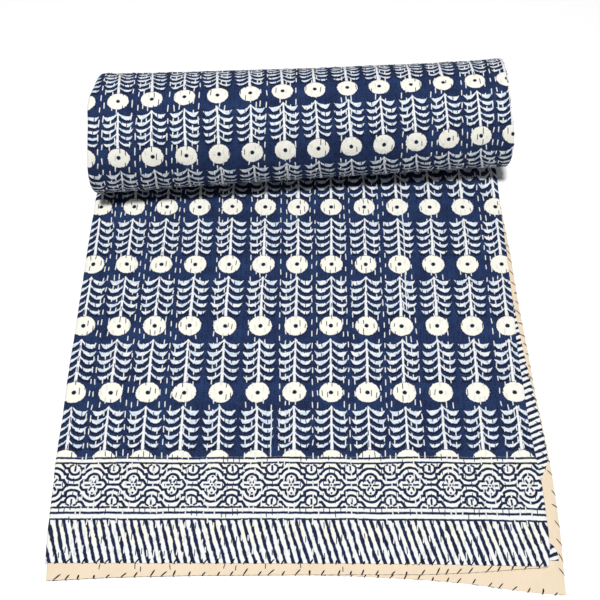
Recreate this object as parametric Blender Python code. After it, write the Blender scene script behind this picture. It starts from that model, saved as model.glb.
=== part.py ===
"""A kantha quilt: a printed cotton top and a plain cotton backing, hand quilted together.

The quilt is folded in quarters across its width and rolled up from its far end, with the rest
lying flat. Each cloth is one solid: the folded section of its four layers, carried along the flat
stretch and round the turns of the roll. Metres, +Z up, the front hems towards -Y.
"""

import bisect
import math

import bmesh
import bpy

# The quilt as cut and sewn.
QUILT_WIDTH = 2.74
QUILT_LENGTH = 2.74
FOLDED_WIDTH = QUILT_WIDTH / 4

# The cloths and the way they stack.
CLOTH = 0.0010
CLOTH_GAP = 0.0003
QUILT = 2 * CLOTH + CLOTH_GAP
LAYER_GAP = 0.0005
LAYER_PITCH = QUILT + LAYER_GAP
LAYERS = 4
STACK = LAYERS * QUILT + (LAYERS - 1) * LAYER_GAP

# The roll, and where it lies behind the top layer's hem.
ROLL_RADIUS = 0.0900
TURN_GAP = 0.0014
TURN_PITCH = STACK + TURN_GAP
FLAT_LENGTH = 0.677
ROLL_SKEW = math.tan(math.radians(4.3))
SKEW_START = 0.55
ROLL_TAPER = 0.040
TELESCOPE = 0.0016
TELESCOPE_WAVES = 0.85

# How thick the roll lies at its left and right ends, against its wound radius.
ROLL_LEFT_SIZE = 1.120
ROLL_RIGHT_SIZE = 1.020

# The place of the top layer's hem, and the shift to the side, which put the origin under the
# middle of the object.
HEM_Y = -0.3761
SIDE_SHIFT = -0.0080

# The quilting, raised as soft channels along the length.
CHANNELS = 36
CHANNEL_HEIGHT = 0.0009

# How finely the shape is cut.
OUTER_TURN_STEP = math.radians(15)
INNER_TURN_STEP = math.radians(30)
FOLD_STEPS = {"outer": 4, "inner": 2}

# Heights of the layers' middles, counted from the floor.
LOWEST, THIRD, SECOND, TOP = (QUILT / 2 + i * LAYER_PITCH for i in range(LAYERS))

# How far each layer's hem lies behind the top layer's, across the folded width from left to right.
HEMS = (
    # across, top, second, third, lowest
    (0.00, 0.0007, -0.0221, -0.0205, 0.0005),
    (0.13, 0.0007, -0.0175, -0.0120, -0.0050),
    (0.30, 0.0004, -0.0149, -0.0048, -0.0105),
    (0.58, 0.0000, -0.0138, 0.0040, -0.0141),
    (0.75, -0.0010, -0.0138, 0.0085, -0.0196),
    (0.85, -0.0020, -0.0112, 0.0108, -0.0256),
    (0.93, -0.0032, -0.0070, 0.0130, -0.0340),
    (1.00, -0.0042, -0.0042, 0.0144, -0.0394),
)
HEM_REACH = 0.16

# Where a layer's shape is set down between its two edges.
LAYER_STOPS = (0.00, 0.13, 0.30, 0.58, 0.85, 1.00)

# The side edges at places along the length: the left and right folds, and how far the two free
# edges stand out past the right fold.
SIDES = (
    # along, left fold, right fold, third layer's edge, lowest layer's edge
    (0.000, -0.3438, 0.3390, 0.0138, 0.0195),
    (0.036, -0.3442, 0.3440, 0.0138, 0.0165),
    (0.060, -0.3446, 0.3437, -0.0020, 0.0185),
    (0.110, -0.3455, 0.3430, -0.0020, 0.0195),
    (0.145, -0.3465, 0.3418, 0.0125, 0.0180),
    (0.198, -0.3455, 0.3392, 0.0112, 0.0185),
    (0.250, -0.3450, 0.3370, 0.0075, 0.0160),
    (0.315, -0.3442, 0.3360, 0.0042, 0.0155),
    (0.400, -0.3428, 0.3365, 0.0000, 0.0095),
    (0.500, -0.3408, 0.3361, -0.0045, 0.0070),
    (0.600, -0.3384, 0.3350, -0.0045, 0.0020),
    (0.677, -0.3345, 0.3370, -0.0040, 0.0010),
    (0.860, -0.3315, 0.3400, -0.0030, 0.0000),
    (3.000, -0.3315, 0.3400, -0.0030, 0.0000),
)


def between(rows, place, column):
    """Reads a column of a table of rows, in straight lines between its places."""
    places = [row[0] for row in rows]
    after = min(max(bisect.bisect_right(places, place), 1), len(rows) - 1)
    low, high = rows[after - 1], rows[after]
    share = min(max((place - low[0]) / (high[0] - low[0]), 0), 1)
    return low[column] + share * (high[column] - low[column])


def smooth(value, start, end):
    """Rises softly from 0 at start to 1 at end."""
    share = min(max((value - start) / (end - start), 0), 1)
    return share * share * (3 - 2 * share)


def turned(along):
    """The angle round the roll that the floor side of the stack has reached."""
    rolled = max(along - FLAT_LENGTH, 0)
    left = ROLL_RADIUS**2 - TURN_PITCH * rolled / math.pi
    return (ROLL_RADIUS - math.sqrt(left)) * 2 * math.pi / TURN_PITCH


def along_at(angle):
    """The length of the stack's floor side up to an angle round the roll."""
    return FLAT_LENGTH + ROLL_RADIUS * angle - TURN_PITCH * angle**2 / (4 * math.pi)


def placed(across, along, height):
    """A point of the folded stack, laid flat or wound into the roll."""
    if along <= FLAT_LENGTH:
        skew = ROLL_SKEW * across * smooth(along, SKEW_START, FLAT_LENGTH)
        return SIDE_SHIFT + across, HEM_Y + along + skew, height
    angle = turned(along)
    radius = ROLL_RADIUS - TURN_PITCH * angle / (2 * math.pi) - height
    low = ROLL_RADIUS - radius * math.cos(angle)
    across *= 1 - ROLL_TAPER * (low / (2 * ROLL_RADIUS)) ** 3
    across += TELESCOPE * math.sin(TELESCOPE_WAVES * angle)
    place = across / FOLDED_WIDTH + 0.5
    size = ROLL_LEFT_SIZE + (ROLL_RIGHT_SIZE - ROLL_LEFT_SIZE) * place
    return (
        SIDE_SHIFT + across,
        HEM_Y + FLAT_LENGTH + ROLL_SKEW * across + radius * math.sin(angle) * size,
        low * size,
    )


def channel(share, side):
    """How far the quilting stands out, on the two faces that show."""
    wave = 0.5 - 0.5 * math.cos(2 * math.pi * CHANNELS * share)
    return side * CHANNEL_HEIGHT * wave


def layer_run(height, start, end, hem_column, quilted):
    """The stops of one layer, from one side to the other.

    A stop is the place across, its middle height, the way to its printed side, its hem's column in
    HEMS, and the share of the quilting that it carries.
    """
    shares = LAYER_STOPS
    if quilted:
        shares = [i / (2 * CHANNELS) for i in range(2 * CHANNELS + 1)]
    if end < start:
        shares = shares[::-1]
    up = 1 if end > start else -1
    low, high = min(start, end), max(start, end)
    return [
        (low + share * (high - low), height, (0, up), hem_column, share if quilted else None)
        for share in shares
    ]


def fold_run(centre, low, high, steps, bulge, outside, hem_columns):
    """The stops round one fold, without its two ends, which belong to its layers."""
    radius, middle = abs(high - low) / 2, (high + low) / 2
    stops = []
    for step in range(1, steps):
        angle = math.pi * step / steps
        if high < low:
            angle = math.pi - angle
        out, rise = math.sin(angle), -math.cos(angle)
        stops.append(
            (
                centre + bulge * radius * out,
                middle + radius * rise,
                (outside * bulge * out, outside * rise),
                hem_columns[0] if step * 2 <= steps else hem_columns[1],
                None,
            )
        )
    return stops


def section(along, quilted):
    """The stops of the quilt's middle at a place along it, from the lowest free edge to the other."""
    left_side, right_side = between(SIDES, along, 1), between(SIDES, along, 2)
    outer, inner = (TOP - LOWEST) / 2, LAYER_PITCH / 2
    left, right = left_side + outer + QUILT / 2, right_side - inner - QUILT / 2
    inner_left = left_side + QUILT + 2 * LAYER_GAP + inner + QUILT / 2
    third_end = right_side + between(SIDES, along, 3)
    lowest_end = right_side + between(SIDES, along, 4)
    return [
        *layer_run(LOWEST, lowest_end, left, 4, quilted),
        *fold_run(left, LOWEST, TOP, FOLD_STEPS["outer"], -1, 1, (4, 1)),
        *layer_run(TOP, left, right, 1, quilted),
        *fold_run(right, TOP, SECOND, FOLD_STEPS["inner"], 1, 1, (1, 2)),
        *layer_run(SECOND, right, inner_left, 2, False),
        *fold_run(inner_left, SECOND, THIRD, FOLD_STEPS["inner"], -1, -1, (2, 3)),
        *layer_run(THIRD, inner_left, third_end, 3, False),
    ]


def face(along, offset, quilted):
    """The points of one face of a cloth, offset from the quilt's middle towards the print."""
    points = []
    for across, height, (out, up), hem_column, share in section(along, quilted):
        raised = 0
        if share is not None:
            on_top = height == TOP
            shown = 1 - smooth(along, 0.60, 0.67) if on_top else outer_turn(along)
            raised = channel(share, 1) * shown
        place = across / FOLDED_WIDTH + 0.5
        hem = between(HEMS, place, hem_column) * (1 - smooth(along, 0, HEM_REACH))
        reach = offset + raised
        points.append(placed(across + out * reach, along + hem, height + up * reach))
    return points


def outer_turn(along):
    """1 where the lowest layer is the outside of the roll, and 0 elsewhere."""
    angle = turned(along)
    return smooth(angle, 0.3, 0.8) * (1 - smooth(angle, 2 * math.pi - 0.5, 2 * math.pi - 0.1))


def stations():
    """The places along the quilt where its section is set down, the last at its far hem."""
    flat = [row[0] for row in SIDES if row[0] < FLAT_LENGTH]
    places, angle = [*flat, FLAT_LENGTH], 0
    while True:
        angle += OUTER_TURN_STEP if angle < 2 * math.pi - 0.01 else INNER_TURN_STEP
        place = along_at(angle)
        if place > QUILT_LENGTH:
            break
        places.append(place)
    return [*places, QUILT_LENGTH]


def cloth(name, near, far, quilted, material):
    """One cloth between two offsets from the quilt's middle, near the print side and far from it."""
    rows = []
    for along in stations():
        ring = face(along, near, quilted) + face(along, far, False)[::-1]
        rows.append([*ring, ring[0]])
    skin = bmesh.new()
    bmesh.ops.create_grid(skin, x_segments=len(rows[0]) - 1, y_segments=len(rows) - 1, size=1)
    for vertex in skin.verts:
        column = round((vertex.co.x + 1) / 2 * (len(rows[0]) - 1))
        row = round((vertex.co.y + 1) / 2 * (len(rows) - 1))
        vertex.co = rows[row][column]
    bmesh.ops.remove_doubles(skin, verts=skin.verts, dist=1e-6)
    rims = [edge for edge in skin.edges if edge.is_boundary]
    ends = bmesh.ops.holes_fill(skin, edges=rims, sides=0)["faces"]
    bmesh.ops.triangulate(skin, faces=ends, ngon_method="EAR_CLIP")
    bmesh.ops.recalc_face_normals(skin, faces=skin.faces)
    mesh = bpy.data.meshes.new(name)
    skin.to_mesh(mesh)
    skin.free()
    mesh.shade_smooth()
    mesh.set_sharp_from_angle(angle=math.radians(40))
    mesh.materials.append(material)
    made = bpy.data.objects.new(name, mesh)
    return made


def cotton(name, colour, roughness):
    """A matt cotton of one colour."""
    material = bpy.data.materials.new(name)
    material.use_nodes = True
    surface = material.node_tree.nodes["Principled BSDF"]
    surface.inputs["Base Color"].default_value = (*colour, 1)
    surface.inputs["Roughness"].default_value = roughness
    surface.inputs["Metallic"].default_value = 0
    return material


def main():
    for old in list(bpy.data.objects):
        bpy.data.objects.remove(old)
    collection = bpy.data.collections.new("kantha_quilt")
    bpy.context.scene.collection.children.link(collection)
    print_side, middle_side = QUILT / 2, CLOTH_GAP / 2
    indigo = cotton("indigo_print", (0.030, 0.075, 0.210), 0.85)
    cream = cotton("cream_cotton", (0.86, 0.74, 0.55), 0.85)
    collection.objects.link(cloth("printed_top", print_side, middle_side, True, indigo))
    collection.objects.link(cloth("cream_backing", -middle_side, -print_side, False, cream))


main()
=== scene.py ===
"""Dresses the kantha quilt: a block-printed top and a cream backing, running-stitched together.

The quilt is folded in quarters across its width, lies flat towards the front, and is rolled up at
the back. Metres, +Z up, the front hems towards -Y.
"""

import logging
import math
from dataclasses import dataclass, field
from enum import Enum

import bpy
import numpy as np
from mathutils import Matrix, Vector


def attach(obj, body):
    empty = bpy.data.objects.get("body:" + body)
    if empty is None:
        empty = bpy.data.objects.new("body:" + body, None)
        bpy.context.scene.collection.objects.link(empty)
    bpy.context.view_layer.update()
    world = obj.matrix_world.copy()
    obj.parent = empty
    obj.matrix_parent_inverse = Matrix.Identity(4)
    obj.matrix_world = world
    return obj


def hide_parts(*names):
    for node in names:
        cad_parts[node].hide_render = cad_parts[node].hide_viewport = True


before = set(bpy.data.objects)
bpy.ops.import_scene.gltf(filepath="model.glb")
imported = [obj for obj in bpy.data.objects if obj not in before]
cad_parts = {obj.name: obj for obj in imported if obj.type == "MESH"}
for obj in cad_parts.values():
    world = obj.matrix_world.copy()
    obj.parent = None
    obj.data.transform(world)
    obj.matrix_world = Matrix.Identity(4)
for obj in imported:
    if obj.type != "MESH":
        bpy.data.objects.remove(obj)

log = logging.getLogger("kantha_quilt")
Array = np.ndarray
Socket = bpy.types.NodeSocket
Tree = bpy.types.NodeTree
Material = bpy.types.Material


class Layer(Enum):
    """The four layers of the folded quilt, counted from the surface it lies on."""

    LOWEST = 0
    THIRD = 1
    SECOND = 2
    TOP = 3


class Cloth(Enum):
    """The two cloths, by the side of the quilt's middle that they lie on."""

    PRINT = 1
    BACKING = -1


def smooth(value: Array, start: float, end: float) -> Array:
    """Rises softly from 0 at start to 1 at end.

    Args:
        value: The numbers to read.
        start: Where the rise begins.
        end: Where it is complete.

    Returns:
        The share, between 0 and 1.
    """
    share = np.clip((np.asarray(value, float) - start) / (end - start), 0, 1)
    return share * share * (3 - 2 * share)


def read(rows: tuple, place: Array, column: int) -> Array:
    """Reads a column of a table of rows, in straight lines between its places.

    Args:
        rows: The table, each row starting with its place.
        place: The places to read at.
        column: The column to read.

    Returns:
        The values there.
    """
    table = np.array(rows)
    return np.interp(place, table[:, 0], table[:, column])


@dataclass(frozen=True)
class Waves:
    """Soft unevenness in all directions, as a sum of waves of about one length."""

    height: float
    length: float
    seed: int
    count: int = 7
    length_shares: tuple = (0.7, 1.5)
    evening: float = 0.75

    def at(self, across: Array, along: Array) -> Array:
        """Sums the waves.

        Args:
            across: Places across the cloth.
            along: Places along the cloth.

        Returns:
            Their share of the height, between about -1 and 1.
        """
        dice = np.random.default_rng(self.seed)
        total = np.zeros(np.broadcast(across, along).shape)
        for _ in range(self.count):
            turn, phase = dice.uniform(0, 2 * math.pi, 2)
            rate = 2 * math.pi / (self.length * dice.uniform(*self.length_shares))
            total += np.sin((across * math.cos(turn) + along * math.sin(turn)) * rate + phase)
        return total / math.sqrt(self.count) * self.evening


@dataclass(frozen=True)
class PrintRepeat:
    """The repeat of the print's stems and discs, in metres of cloth."""

    column: float = 0.0544
    row: float = 0.1099
    first_row: float = 0.1375


@dataclass(frozen=True)
class PrintLay:
    """How the print lies on the top layer, on the roll and along the third layer's side."""

    repeat: PrintRepeat = PrintRepeat()
    drift: float = 0.0060
    drift_from: float = 0.60
    drift_length: float = 0.40
    roll_rows: tuple = (
        # across, place of the row of discs above the crease, distance to the next
        (-0.30, 1.0375, 0.0770),
        (-0.15, 1.0414, 0.0854),
        (0.00, 1.0413, 0.0898),
        (0.15, 1.0413, 0.0904),
        (0.30, 1.0365, 0.0861),
    )
    roll_first: int = 24
    roll_column: float = 0.0515
    roll_column_start: float = -0.0194
    roll_lean: float = 0.073
    roll_below: float = 0.1040
    roll_above: float = 0.0830
    disc_stretch: float = 0.18
    spread: float = 0.60
    spread_start: float = 1.075
    side_stretch: float = 1.07
    side_lean: float = 0.12

    def on_top(self, across: Array, along: Array) -> Array:
        """The place in the print on the top layer, where the columns run a little askew."""
        drift = self.drift * smooth(self.drift_from - along, 0, self.drift_length)
        return np.stack([across + drift, along], -1)

    def on_roll(self, across: Array, along: Array) -> Array:
        """The place in the print on the roll, with the stems growing up its front.

        Args:
            across: Places across the folded width.
            along: Places along the cloth.

        Returns:
            The two numbers, in the last axis.
        """
        start, pitch = (read(self.roll_rows, across, column) for column in (1, 2))
        gap = start - along
        share = gap / pitch
        swing = self.disc_stretch / (2 * math.pi) * np.sin(2 * math.pi * share)
        above = 1 + (gap - pitch) / self.roll_above
        between = np.where(share > 1, above, share - swing * (1 - share))
        rows = np.where(share < 0, gap / self.roll_below, between)
        width = 1 - self.spread * np.maximum(along - self.spread_start, 0)
        lean = self.roll_lean * (along - self.roll_rows[0][1])
        column = (across * width - self.roll_column_start - lean) / self.roll_column
        repeat = self.repeat
        grown = repeat.first_row + (rows + self.roll_first) * repeat.row
        return np.stack([column * repeat.column, grown], -1)

    def on_side(self, inset: Array, along: Array) -> Array:
        """The place in the border that runs along a side, at an inset from its edge."""
        return np.stack([self.side_stretch * along + self.side_lean * inset, inset], -1)


@dataclass
class FoldedQuilt:
    """The sizes of the folded and rolled quilt, and the way from its cloth to its place."""

    width: float = 2.74
    length: float = 2.74
    quilt: float = 0.0023
    layer_gap: float = 0.0005
    roll_radius: float = 0.0900
    turn_gap: float = 0.0014
    flat_length: float = 0.677
    roll_skew: float = math.tan(math.radians(4.3))
    skew_start: float = 0.585
    roll_taper: float = 0.040
    roll_taper_power: int = 3
    telescope: float = 0.0016
    telescope_waves: float = 0.85
    hem_y: float = -0.3761
    side_shift: float = -0.0080
    hem_reach: float = 0.16
    rounding: float = 0.009
    rounding_steps: int = 7
    channel_pitch: float = 0.0190
    channel_height: float = 0.0004
    wander: Waves = Waves(0.0016, 0.11, 3)
    lumps: Waves = Waves(0.0005, 0.024, 16)
    broad: Waves = Waves(0.00035, 0.13, 23)
    outer_from: tuple = (0.3, 0.8)
    outer_to: tuple = (5.8, 6.2)
    lay: PrintLay = PrintLay()
    roll_form_from: tuple = (-0.05, 0.5)
    roll_form: tuple = (
        # share of the width, size
        (-0.20, 1.155),
        (0.00, 1.142),
        (0.10, 1.115),
        (0.25, 1.090),
        (0.50, 1.060),
        (0.75, 1.040),
        (0.92, 1.040),
        (1.00, 1.050),
        (1.20, 1.060),
    )
    hems: tuple = (
        # share of the width, how far back the hem lies: top, second, third, lowest
        (0.00, 0.0007, -0.0221, -0.0205, 0.0005),
        (0.13, 0.0007, -0.0175, -0.0120, -0.0050),
        (0.30, 0.0004, -0.0149, -0.0048, -0.0105),
        (0.58, 0.0000, -0.0138, 0.0040, -0.0141),
        (0.75, -0.0010, -0.0138, 0.0085, -0.0196),
        (0.85, -0.0020, -0.0112, 0.0108, -0.0256),
        (0.93, -0.0032, -0.0070, 0.0095, -0.0340),
        (1.00, -0.0042, -0.0042, 0.0050, -0.0394),
    )
    sides: tuple = (
        # along, left fold, right fold, how far past that the third and the lowest layer reach
        (0.000, -0.3418, 0.3390, 0.0150, 0.0195),
        (0.016, -0.3430, 0.3412, 0.0138, 0.0175),
        (0.028, -0.3437, 0.3432, -0.0020, 0.0168),
        (0.060, -0.3446, 0.3437, -0.0020, 0.0185),
        (0.110, -0.3455, 0.3430, -0.0020, 0.0195),
        (0.145, -0.3465, 0.3406, 0.0185, 0.0205),
        (0.198, -0.3455, 0.3362, 0.0196, 0.0215),
        (0.250, -0.3450, 0.3351, 0.0150, 0.0183),
        (0.315, -0.3442, 0.3332, 0.0104, 0.0178),
        (0.400, -0.3428, 0.3352, 0.0025, 0.0108),
        (0.500, -0.3408, 0.3361, -0.0045, 0.0070),
        (0.600, -0.3384, 0.3350, -0.0045, 0.0020),
        (0.677, -0.3345, 0.3370, -0.0040, 0.0010),
        (0.860, -0.3225, 0.3340, -0.0030, 0.0000),
        (0.885, -0.3208, 0.3325, -0.0030, 0.0000),
        (0.912, -0.3223, 0.3345, -0.0030, 0.0000),
        (0.932, -0.3237, 0.3352, -0.0030, 0.0000),
        (0.950, -0.3292, 0.3350, -0.0030, 0.0000),
        (0.966, -0.3295, 0.3354, -0.0030, 0.0000),
        (0.985, -0.3262, 0.3366, -0.0030, 0.0000),
        (1.010, -0.3240, 0.3396, -0.0030, 0.0000),
        (1.040, -0.3245, 0.3428, -0.0030, 0.0000),
        (1.075, -0.3256, 0.3440, -0.0030, 0.0000),
        (1.116, -0.3267, 0.3442, -0.0030, 0.0000),
        (1.160, -0.3280, 0.3425, -0.0030, 0.0000),
        (1.300, -0.3240, 0.3380, -0.0030, 0.0000),
        (3.000, -0.3240, 0.3380, -0.0030, 0.0000),
    )

    @property
    def folded(self) -> float:
        """The width of one quarter."""
        return self.width / 4

    @property
    def stack(self) -> float:
        """The height of the four layers."""
        return 4 * self.quilt + 3 * self.layer_gap

    @property
    def turn_pitch(self) -> float:
        """How far one turn of the roll lies inside the last."""
        return self.stack + self.turn_gap

    def middle(self, layer: Layer) -> float:
        """The height of a layer's middle above the floor."""
        return self.quilt / 2 + layer.value * (self.quilt + self.layer_gap)

    @property
    def outer_fold(self) -> float:
        """The radius of the left fold that goes round all the layers."""
        return (self.middle(Layer.TOP) - self.middle(Layer.LOWEST)) / 2

    @property
    def inner_fold(self) -> float:
        """The radius of a fold between two neighbouring layers."""
        return (self.quilt + self.layer_gap) / 2

    @property
    def outer_left(self) -> float:
        """How far inside the left edge the outer fold has its centre."""
        return self.outer_fold + self.quilt / 2

    @property
    def inner_left(self) -> float:
        """How far inside the left edge the inner fold has its centre."""
        return 2 * (self.quilt / 2) + 2 * self.layer_gap + self.inner_fold + self.quilt / 2

    @property
    def inner_right(self) -> float:
        """How far from the right edge, inwards as a minus, its fold has its centre."""
        return -self.inner_fold - self.quilt / 2

    def turned(self, along: Array) -> Array:
        """The angle round the roll that a place along the quilt has reached.

        Args:
            along: Places along the quilt.

        Returns:
            The angles, 0 where the quilt lies flat.
        """
        rolled = np.maximum(along - self.flat_length, 0)
        left = self.roll_radius**2 - self.turn_pitch * rolled / math.pi
        return (self.roll_radius - np.sqrt(np.maximum(left, 0))) * 2 * math.pi / self.turn_pitch

    def along_at(self, angle: float) -> float:
        """The place along the quilt at an angle round the roll."""
        wound = self.roll_radius * angle - self.turn_pitch * angle**2 / 4 / math.pi
        return self.flat_length + wound

    def placed(self, across: Array, along: Array, height: Array) -> Array:
        """Places points of the folded stack.

        Args:
            across: How far they lie from the middle of the width.
            along: How far they lie behind the top layer's hem.
            height: How far they lie from the floor side of the stack.

        Returns:
            The points, x y z in the last axis.
        """
        across, along, height = np.broadcast_arrays(across, along, height)
        skew = self.roll_skew * across * smooth(along, self.skew_start, self.flat_length)
        flat = [self.side_shift + across, self.hem_y + along + skew, height]
        angle = self.turned(along)
        radius = self.roll_radius - self.turn_pitch * angle / (2 * math.pi) - height
        low = self.roll_radius - radius * np.cos(angle)
        taper = 1 - self.roll_taper * (low / (2 * self.roll_radius)) ** self.roll_taper_power
        moved = across * taper + self.telescope * np.sin(self.telescope_waves * angle)
        form = read(self.roll_form, moved / self.folded + 0.5, 1)
        size = 1 + (form - 1) * smooth(angle, *self.roll_form_from)
        wound = [
            self.side_shift + moved,
            self.hem_y + self.flat_length + self.roll_skew * moved + radius * np.sin(angle) * size,
            low * size,
        ]
        lies_flat = along <= self.flat_length
        return np.stack([np.where(lies_flat, *pair) for pair in zip(flat, wound)], -1)

    def hem(self, across: Array, along: Array, layer: Array) -> Array:
        """How far a layer's cloth is drawn back at a place, because of its hem.

        Args:
            across: Places across the folded width.
            along: Places along the cloth, counted from its own hem.
            layer: The layer's number at each place.

        Returns:
            The distance, back from the viewer.
        """
        place = across / self.folded + 0.5
        drawn = np.choose(layer, [read(self.hems, place, 4 - number) for number in range(4)])
        return drawn * (1 - smooth(along, 0, self.hem_reach))

    def edge(self, along: Array, column: int) -> Array:
        """A side's place, from the table of sides with its corners rounded.

        Args:
            along: Places along the quilt.
            column: The column of the table.

        Returns:
            The side's places.
        """
        steps = np.linspace(-self.rounding, self.rounding, self.rounding_steps)
        return sum(read(self.sides, along + step, column) for step in steps) / len(steps)

    def relief(self, across: Array, along: Array, layer: Array) -> Array:
        """How far the quilting puffs the cloth up between its stitches.

        Args:
            across: Places across the folded width.
            along: Places along the cloth.
            layer: The layer's number at each place.

        Returns:
            The height of the puffs.
        """
        across_channels = across + self.wander.height * self.wander.at(across, along)
        channel = 0.5 + 0.5 * np.cos(2 * math.pi * across_channels / self.channel_pitch)
        lump = 0.5 + 0.5 * self.lumps.at(across, along)
        puff = self.channel_height * channel + self.lumps.height * lump
        puff = puff + self.broad.height * self.broad.at(across, along)
        is_top = layer == Layer.TOP.value
        shown = np.where(is_top, 1.0, self.outer(along))
        return puff * np.where(is_top | (layer == Layer.LOWEST.value), shown, 0)

    def outer(self, along: Array) -> Array:
        """1 where the lowest layer is the outside of the roll, and 0 elsewhere."""
        angle = self.turned(along)
        return smooth(angle, *self.outer_from) * (1 - smooth(angle, *self.outer_to))

    def print_place(self, across: Array, along: Array, layer: Array) -> Array:
        """The place of each point in the print: across its columns, and the way its stems grow.

        The lowest layer is printed as it shows on the roll. The third layer has the border along
        its free side.

        Args:
            across: Places across the folded width.
            along: Places along the cloth.
            layer: The layers' numbers.

        Returns:
            The two numbers, in the last axis.
        """
        inset = self.edge(along, 2) + self.edge(along, 3) - across
        top, roll = self.lay.on_top(across, along), self.lay.on_roll(across, along)
        place = np.where((layer == Layer.LOWEST.value)[..., None], roll, top)
        is_third = (layer == Layer.THIRD.value)[..., None]
        return np.where(is_third, self.lay.on_side(inset, along), place)


@dataclass
class Stops:
    """The stops across one cloth, from the lowest layer's free edge to the third layer's.

    Each list has an entry for every stop: the weights of the left fold, the right fold and the two
    free edges, a fixed distance added to them, the height of the quilt's middle, the way out of
    the cloth, the layer, the share of the full offset, and whether the stop stays where the cloth
    is cut coarsely.
    """

    weights: list = field(default_factory=list)
    fixed: list = field(default_factory=list)
    height: list = field(default_factory=list)
    way: list = field(default_factory=list)
    layer: list = field(default_factory=list)
    full: list = field(default_factory=list)
    coarse: list = field(default_factory=list)

    def add(
        self,
        weights: tuple,
        fixed: float,
        height: float,
        way: tuple,
        layer: Layer,
        full: float,
        keep: bool,
    ) -> None:
        """Adds one stop.

        Args:
            weights: The shares of the left fold, right fold, third edge and lowest edge.
            fixed: A distance added to them.
            height: The height of the quilt's middle there.
            way: The way out of the print side, across and up.
            layer: The layer that it belongs to.
            full: The share of the full offset from the middle.
            keep: Whether the stop stays where the cloth is cut coarsely.
        """
        self.weights.append(weights)
        self.fixed.append(fixed)
        self.height.append(height)
        self.way.append(way)
        self.layer.append(layer.value)
        self.full.append(full)
        self.coarse.append(keep)


LEFT_FOLD, RIGHT_FOLD = (1, 0, 0, 0), (0, 1, 0, 0)
THIRD_EDGE, LOWEST_EDGE = (0, 1, 1, 0), (0, 1, 0, 1)


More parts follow.
